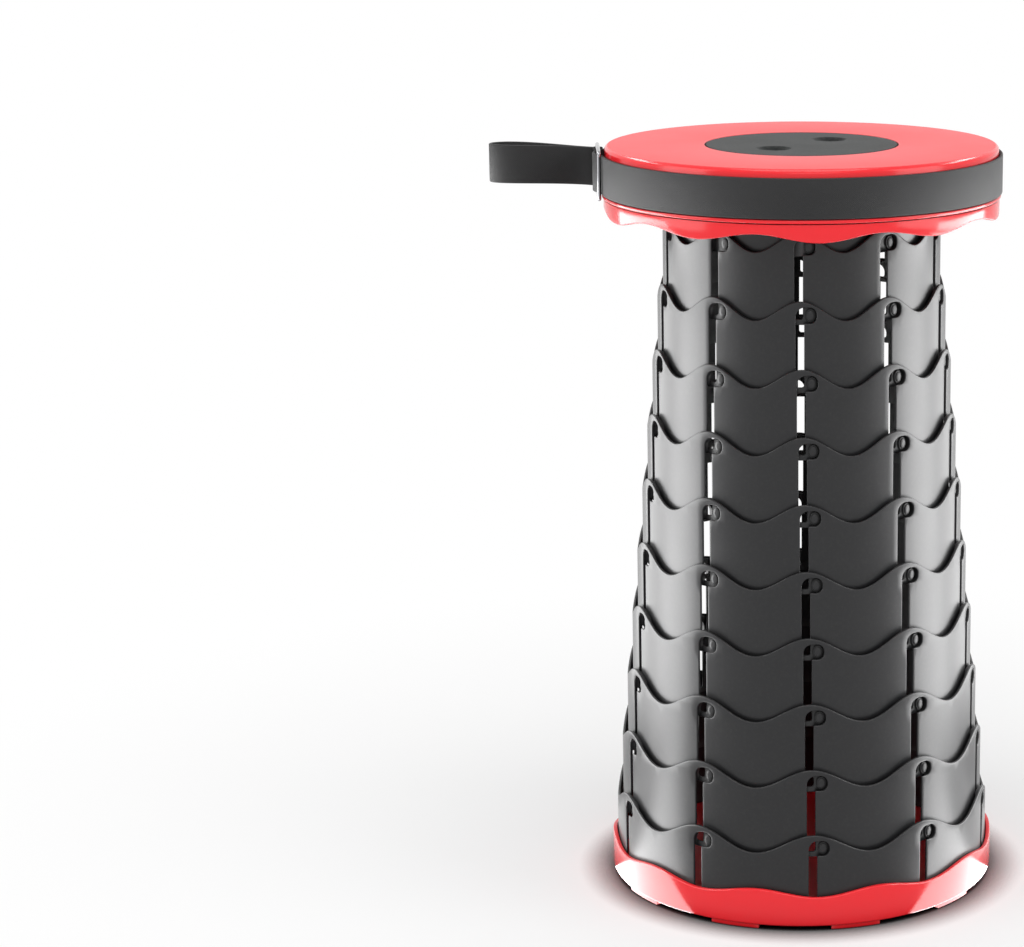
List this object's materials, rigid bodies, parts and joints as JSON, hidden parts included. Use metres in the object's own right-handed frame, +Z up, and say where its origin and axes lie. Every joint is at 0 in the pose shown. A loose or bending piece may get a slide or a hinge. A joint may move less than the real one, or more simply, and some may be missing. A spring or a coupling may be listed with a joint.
{
  "type": "collapsible telescopic stool",
  "caption": "Round collapsible stool: nested rings with hooked slots and pins slide out into a column between a red seat with a carry strap and a red base.",
  "frame": {"origin": "the middle of the seat's top face, on the stool's axis", "axes": "+Z up out of the seat along the column, -Y towards the viewer of the picture, -X towards the handle loop"},
  "size_m": [0.3207, 0.2494, 0.4715],
  "materials": {
    "red_plastic": "glossy moulded plastic",
    "black_plastic": "satin moulded plastic",
    "grey_plastic": "fine matt texture",
    "webbing": "woven webbing",
    "chrome": "polished",
    "screw_steel": "zinc-plated"
  },
  "bodies": {
    "base": {"base_shell": "red_plastic", "ring_10": "black_plastic"},
    "ring_9_body": {"ring_9": "black_plastic"},
    "ring_8_body": {"ring_8": "black_plastic"},
    "ring_7_body": {"ring_7": "black_plastic"},
    "ring_6_body": {"ring_6": "black_plastic"},
    "ring_5_body": {"ring_5": "black_plastic"},
    "ring_4_body": {"ring_4": "black_plastic"},
    "ring_3_body": {"ring_3": "black_plastic"},
    "ring_2_body": {"ring_2": "black_plastic"},
    "ring_1_body": {"ring_1": "black_plastic"},
    "seat": {"seat_top": "red_plastic", "seat_skirt": "red_plastic", "seat_disc": "grey_plastic", "seat_sleeve": "black_plastic", "strap_band": "webbing", "strap_slider": "chrome", "handle_loop": "webbing", "seat_screw_1": "screw_steel", "seat_screw_2": "screw_steel", "seat_screw_3": "screw_steel", "seat_screw_4": "screw_steel", "seat_screw_5": "screw_steel"}
  },
  "joints": [
    {"name": "ring_9_slide", "type": "slide", "parent": "base", "child": "ring_9_body", "axis": [0, 0, 1], "range_m": [-0.0398, 0]},
    {"name": "ring_8_slide", "type": "slide", "parent": "ring_9_body", "child": "ring_8_body", "axis": [0, 0, 1], "range_m": [-0.0398, 0]},
    {"name": "ring_7_slide", "type": "slide", "parent": "ring_8_body", "child": "ring_7_body", "axis": [0, 0, 1], "range_m": [-0.0398, 0]},
    {"name": "ring_6_slide", "type": "slide", "parent": "ring_7_body", "child": "ring_6_body", "axis": [0, 0, 1], "range_m": [-0.0398, 0]},
    {"name": "ring_5_slide", "type": "slide", "parent": "ring_6_body", "child": "ring_5_body", "axis": [0, 0, 1], "range_m": [-0.0398, 0]},
    {"name": "ring_4_slide", "type": "slide", "parent": "ring_5_body", "child": "ring_4_body", "axis": [0, 0, 1], "range_m": [-0.0398, 0]},
    {"name": "ring_3_slide", "type": "slide", "parent": "ring_4_body", "child": "ring_3_body", "axis": [0, 0, 1], "range_m": [-0.0398, 0]},
    {"name": "ring_2_slide", "type": "slide", "parent": "ring_3_body", "child": "ring_2_body", "axis": [0, 0, 1], "range_m": [-0.0398, 0]},
    {"name": "ring_1_slide", "type": "slide", "parent": "ring_2_body", "child": "ring_1_body", "axis": [0, 0, 1], "range_m": [-0.0398, 0]},
    {"name": "seat_slide", "type": "slide", "parent": "ring_1_body", "child": "seat", "axis": [0, 0, 1], "range_m": [-0.0398, 0]}
  ]
}
